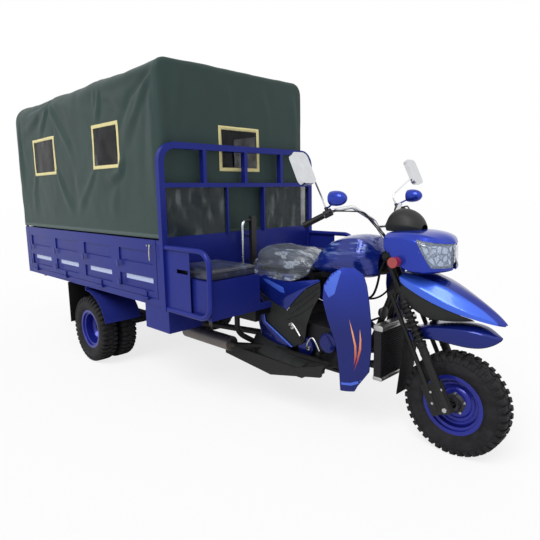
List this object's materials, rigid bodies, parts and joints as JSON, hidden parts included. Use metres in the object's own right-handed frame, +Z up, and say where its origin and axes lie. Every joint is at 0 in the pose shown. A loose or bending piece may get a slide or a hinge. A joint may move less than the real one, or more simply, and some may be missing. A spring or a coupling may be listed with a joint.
{
  "type": "cargo motor tricycle",
  "caption": "Three-wheeled cargo motorcycle with twin rear wheels, drop-side load bed, canvas cover on hoops, headboard and side seats behind the rider.",
  "frame": {"origin": "on the ground under the middle of the whole vehicle", "axes": "+X towards the front wheel, +Y to the left, +Z up"},
  "size_m": [4.598, 1.504, 2.315],
  "materials": {
    "frame_blue": "gloss painted steel",
    "panel_blue": "moulded gloss plastic",
    "wheel_blue": "gloss painted steel",
    "chassis_black": "satin painted steel",
    "canvas": "coated cotton canvas",
    "clear_sheet": "clear plastic sheet",
    "tyre": "moulded tyre rubber",
    "rubber": "matt rubber",
    "black_plastic": "textured black plastic",
    "chrome": "polished chrome",
    "engine_black": "satin black paint",
    "seat_vinyl": "grained vinyl",
    "lamp_red": "red lens",
    "headlamp_lens": "clear lens",
    "mirror": "mirror glass in a housing",
    "muffler_grey": "heat-proof paint"
  },
  "bodies": {
    "chassis": {"chassis_rails": "chassis_black", "cross_members": "chassis_black", "seat_platform": "frame_blue", "front_frame": "chassis_black", "bed_floor": "frame_blue", "bed_posts": "frame_blue", "bed_front_wall": "frame_blue", "gate_hinges": "frame_blue", "canopy_frame": "frame_blue", "canopy": "canvas", "canopy_windows": "clear_sheet", "headboard": "frame_blue", "headboard_glass": "clear_sheet", "side_seat_boxes": "frame_blue", "side_cushions": "seat_vinyl", "side_guards": "frame_blue", "tool_boxes": "frame_blue", "rear_axle": "chassis_black", "leaf_springs": "chassis_black", "drive_shaft": "chassis_black", "engine_case": "engine_black", "engine_barrel": "engine_black", "engine_covers": "panel_blue", "exhaust": "muffler_grey", "radiator": "engine_black", "fuel_tank": "panel_blue", "rider_seat": "seat_vinyl", "side_covers": "panel_blue", "leg_shield_left": "panel_blue", "leg_shield_right": "panel_blue", "footboard": "chassis_black", "backrest": "black_plastic", "rear_mudguards": "frame_blue", "rear_flaps": "rubber", "tail_lamps": "lamp_red"},
    "tailgate": {"tailgate": "frame_blue"},
    "side_gate_left": {"side_gate_left": "frame_blue"},
    "side_gate_right": {"side_gate_right": "frame_blue"},
    "steering": {"front_fork": "chassis_black", "handlebar": "chrome", "grips": "rubber", "switch_housings": "black_plastic", "bar_pods": "panel_blue", "mirrors": "mirror", "fairing": "panel_blue", "instrument": "black_plastic", "beak_mudguard": "panel_blue", "front_mudguard": "panel_blue", "headlamps": "headlamp_lens", "front_flap": "rubber", "hand_levers": "black_plastic", "control_cables": "rubber", "front_indicators": "lamp_red"},
    "front_wheel": {"front_rim": "wheel_blue", "front_tyre": "tyre"},
    "rear_wheel_left": {"rear_rims_left": "wheel_blue", "rear_tyres_left": "tyre"},
    "rear_wheel_right": {"rear_rims_right": "wheel_blue", "rear_tyres_right": "tyre"}
  },
  "joints": [
    {"name": "steering", "type": "hinge", "parent": "chassis", "child": "steering", "pos_m": [1.63525, 0, 0.95994], "axis": [-0.4384, 0, 0.8988], "range_deg": [-35, 35]},
    {"name": "front_wheel_spin", "type": "hinge", "parent": "steering", "child": "front_wheel", "pos_m": [2.015, 0, 0.284], "axis": [0, 1, 0], "continuous": true},
    {"name": "rear_wheel_left_spin", "type": "hinge", "parent": "chassis", "child": "rear_wheel_left", "pos_m": [-0.935, 0.56, 0.284], "axis": [0, 1, 0], "continuous": true},
    {"name": "rear_wheel_right_spin", "type": "hinge", "parent": "chassis", "child": "rear_wheel_right", "pos_m": [-0.935, -0.56, 0.284], "axis": [0, 1, 0], "continuous": true},
    {"name": "tailgate", "type": "hinge", "parent": "chassis", "child": "tailgate", "pos_m": [-2.289, 0, 0.704], "axis": [0, -1, 0], "range_deg": [0, 175]},
    {"name": "side_gate_left", "type": "hinge", "parent": "chassis", "child": "side_gate_left", "pos_m": [-0.985, 0.714, 0.704], "axis": [-1, 0, 0], "range_deg": [0, 175]},
    {"name": "side_gate_right", "type": "hinge", "parent": "chassis", "child": "side_gate_right", "pos_m": [-0.985, -0.714, 0.704], "axis": [1, 0, 0], "range_deg": [0, 175]}
  ]
}
